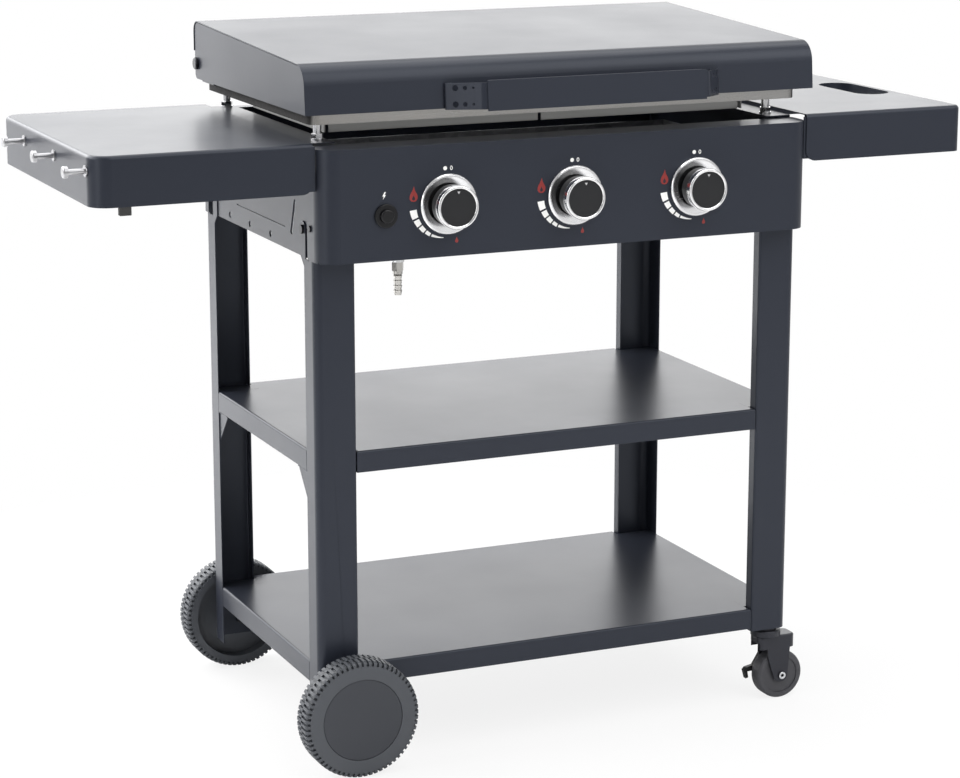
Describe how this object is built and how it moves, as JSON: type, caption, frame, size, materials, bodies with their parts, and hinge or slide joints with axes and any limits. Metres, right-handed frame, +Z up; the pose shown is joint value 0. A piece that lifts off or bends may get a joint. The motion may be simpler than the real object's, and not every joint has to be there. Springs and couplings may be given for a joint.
{
  "type": "gas plancha with cart",
  "caption": "Black gas griddle on a wheeled cart with a hinged lid, control knobs, open shelves and fold-down side tables.",
  "frame": {"origin": "on the floor under the middle of the whole outline, lid closed and tables up", "axes": "+X to the user's right along the control panel, +Y from the panel to the back, +Z up"},
  "size_m": [1.199, 0.522, 0.8954],
  "materials": {
    "powder_coat": "satin black powder coat, fine orange peel",
    "black_fastener": "black oxide, slightly glossy",
    "wheel_plastic": "moulded grey-black plastic",
    "cap_plastic": "moulded dark grey plastic",
    "zinc_steel": "zinc plated",
    "caster_tread": "black rubber tread on a plastic core",
    "black_plastic": "satin black moulded plastic",
    "bright_chrome": "polished chrome plate",
    "galvanised": "plain galvanised sheet",
    "burner_steel": "stainless tube, slightly heat tinted",
    "manifold_aluminium": "drawn aluminium tube",
    "valve_brass": "machined brass",
    "ceramic": "glazed white ceramic",
    "griddle_steel": "brushed stainless steel",
    "bumper_rubber": "soft black rubber"
  },
  "bodies": {
    "cart": {"bottom_shelf": "powder_coat", "burner_tray": "galvanised", "caster_stems": "zinc_steel", "center_burner": "burner_steel", "frame_bolts": "black_fastener", "front_left_leg": "powder_coat", "front_panel": "powder_coat", "front_right_leg": "powder_coat", "gas_inlet_nozzle": "bright_chrome", "gas_manifold": "manifold_aluminium", "gas_valves": "valve_brass", "griddle_feet": "bright_chrome", "griddle_plate": "griddle_steel", "hinge_bolts": "black_fastener", "hinge_brackets": "powder_coat", "igniter_electrodes": "ceramic", "igniter_housing": "black_plastic", "knob_bezels": "bright_chrome", "left_burner": "burner_steel", "left_side_panel": "powder_coat", "middle_shelf": "powder_coat", "panel_screws": "black_fastener", "rear_left_leg": "powder_coat", "rear_panel": "powder_coat", "rear_right_leg": "powder_coat", "right_burner": "burner_steel", "right_side_panel": "powder_coat", "shelf_brackets": "powder_coat", "table_brackets": "powder_coat", "wheel_axle_bolts": "zinc_steel", "wheel_axle_nuts": "zinc_steel", "wind_guard": "galvanised"},
    "lid": {"lid_shell": "powder_coat", "lid_ends": "powder_coat", "lid_handle": "powder_coat"},
    "igniter": {"igniter_button": "black_plastic"},
    "grease_cup": {"grease_cup": "galvanised"},
    "left_table": {"left_table": "powder_coat", "tool_hooks": "bright_chrome", "table_bumper": "bumper_rubber"},
    "right_table": {"right_table": "powder_coat"},
    "left_stem": {"left_valve_stem": "valve_brass"},
    "left_knob": {"left_knob": "black_plastic", "left_knob_ring": "bright_chrome"},
    "center_stem": {"center_valve_stem": "valve_brass"},
    "center_knob": {"center_knob": "black_plastic", "center_knob_ring": "bright_chrome"},
    "right_stem": {"right_valve_stem": "valve_brass"},
    "right_knob": {"right_knob": "black_plastic", "right_knob_ring": "bright_chrome"},
    "front_wheel": {"front_wheel": "wheel_plastic", "front_wheel_cap": "cap_plastic"},
    "front_caster": {"front_caster_fork": "powder_coat"},
    "front_caster_wheel": {"front_caster_wheel": "caster_tread"},
    "front_caster_brake": {"front_caster_brake": "black_plastic"},
    "rear_wheel": {"rear_wheel": "wheel_plastic", "rear_wheel_cap": "cap_plastic"},
    "rear_caster": {"rear_caster_fork": "powder_coat"},
    "rear_caster_wheel": {"rear_caster_wheel": "caster_tread"},
    "rear_caster_brake": {"rear_caster_brake": "black_plastic"}
  },
  "joints": [
    {"name": "lid_hinge", "type": "hinge", "parent": "cart", "child": "lid", "pos_m": [0.0325, 0.2, 0.84], "axis": [-1, 0, 0], "range_deg": [0, 100]},
    {"name": "igniter_press", "type": "slide", "parent": "cart", "child": "igniter", "axis": [0, 1, 0], "range_m": [0, 0.004], "stiffness_N_per_m": 400},
    {"name": "grease_cup_slide", "type": "slide", "parent": "cart", "child": "grease_cup", "axis": [0, 1, 0], "range_m": [0, 0.06]},
    {"name": "left_table_fold", "type": "hinge", "parent": "cart", "child": "left_table", "pos_m": [-0.316, 0.008, 0.741], "axis": [0, -1, 0], "range_deg": [0, 90]},
    {"name": "right_table_fold", "type": "hinge", "parent": "cart", "child": "right_table", "pos_m": [0.381, 0.008, 0.741], "axis": [0, 1, 0], "range_deg": [0, 90]},
    {"name": "left_knob_turn", "type": "hinge", "parent": "cart", "child": "left_stem", "pos_m": [-0.136, -0.227, 0.7075], "axis": [0, -1, 0], "range_deg": [0, 180]},
    {"name": "left_knob_push", "type": "slide", "parent": "left_stem", "child": "left_knob", "axis": [0, 1, 0], "range_m": [0, 0.003], "stiffness_N_per_m": 400},
    {"name": "center_knob_turn", "type": "hinge", "parent": "cart", "child": "center_stem", "pos_m": [0.0325, -0.227, 0.7075], "axis": [0, -1, 0], "range_deg": [0, 180]},
    {"name": "center_knob_push", "type": "slide", "parent": "center_stem", "child": "center_knob", "axis": [0, 1, 0], "range_m": [0, 0.003], "stiffness_N_per_m": 400},
    {"name": "right_knob_turn", "type": "hinge", "parent": "cart", "child": "right_stem", "pos_m": [0.201, -0.227, 0.7075], "axis": [0, -1, 0], "range_deg": [0, 180]},
    {"name": "right_knob_push", "type": "slide", "parent": "right_stem", "child": "right_knob", "axis": [0, 1, 0], "range_m": [0, 0.003], "stiffness_N_per_m": 400},
    {"name": "front_wheel_spin", "type": "hinge", "parent": "cart", "child": "front_wheel", "pos_m": [-0.2585, -0.198, 0.075], "axis": [0, 1, 0], "continuous": true},
    {"name": "front_caster_swivel", "type": "hinge", "parent": "cart", "child": "front_caster", "pos_m": [0.3425, -0.18, 0.097], "axis": [0, 0, 1], "continuous": true},
    {"name": "front_caster_spin", "type": "hinge", "parent": "front_caster", "child": "front_caster_wheel", "pos_m": [0.3605, -0.18, 0.033], "axis": [0, 1, 0], "continuous": true},
    {"name": "front_caster_lock", "type": "hinge", "parent": "front_caster", "child": "front_caster_brake", "pos_m": [0.3505, -0.18, 0.056], "axis": [0, -1, 0], "range_deg": [0, 20]},
    {"name": "rear_wheel_spin", "type": "hinge", "parent": "cart", "child": "rear_wheel", "pos_m": [-0.2585, 0.214, 0.075], "axis": [0, 1, 0], "continuous": true},
    {"name": "rear_caster_swivel", "type": "hinge", "parent": "cart", "child": "rear_caster", "pos_m": [0.3425, 0.196, 0.097], "axis": [0, 0, 1], "continuous": true},
    {"name": "rear_caster_spin", "type": "hinge", "parent": "rear_caster", "child": "rear_caster_wheel", "pos_m": [0.3605, 0.196, 0.033], "axis": [0, 1, 0], "continuous": true},
    {"name": "rear_caster_lock", "type": "hinge", "parent": "rear_caster", "child": "rear_caster_brake", "pos_m": [0.3505, 0.196, 0.056], "axis": [0, -1, 0], "range_deg": [0, 20]}
  ]
}
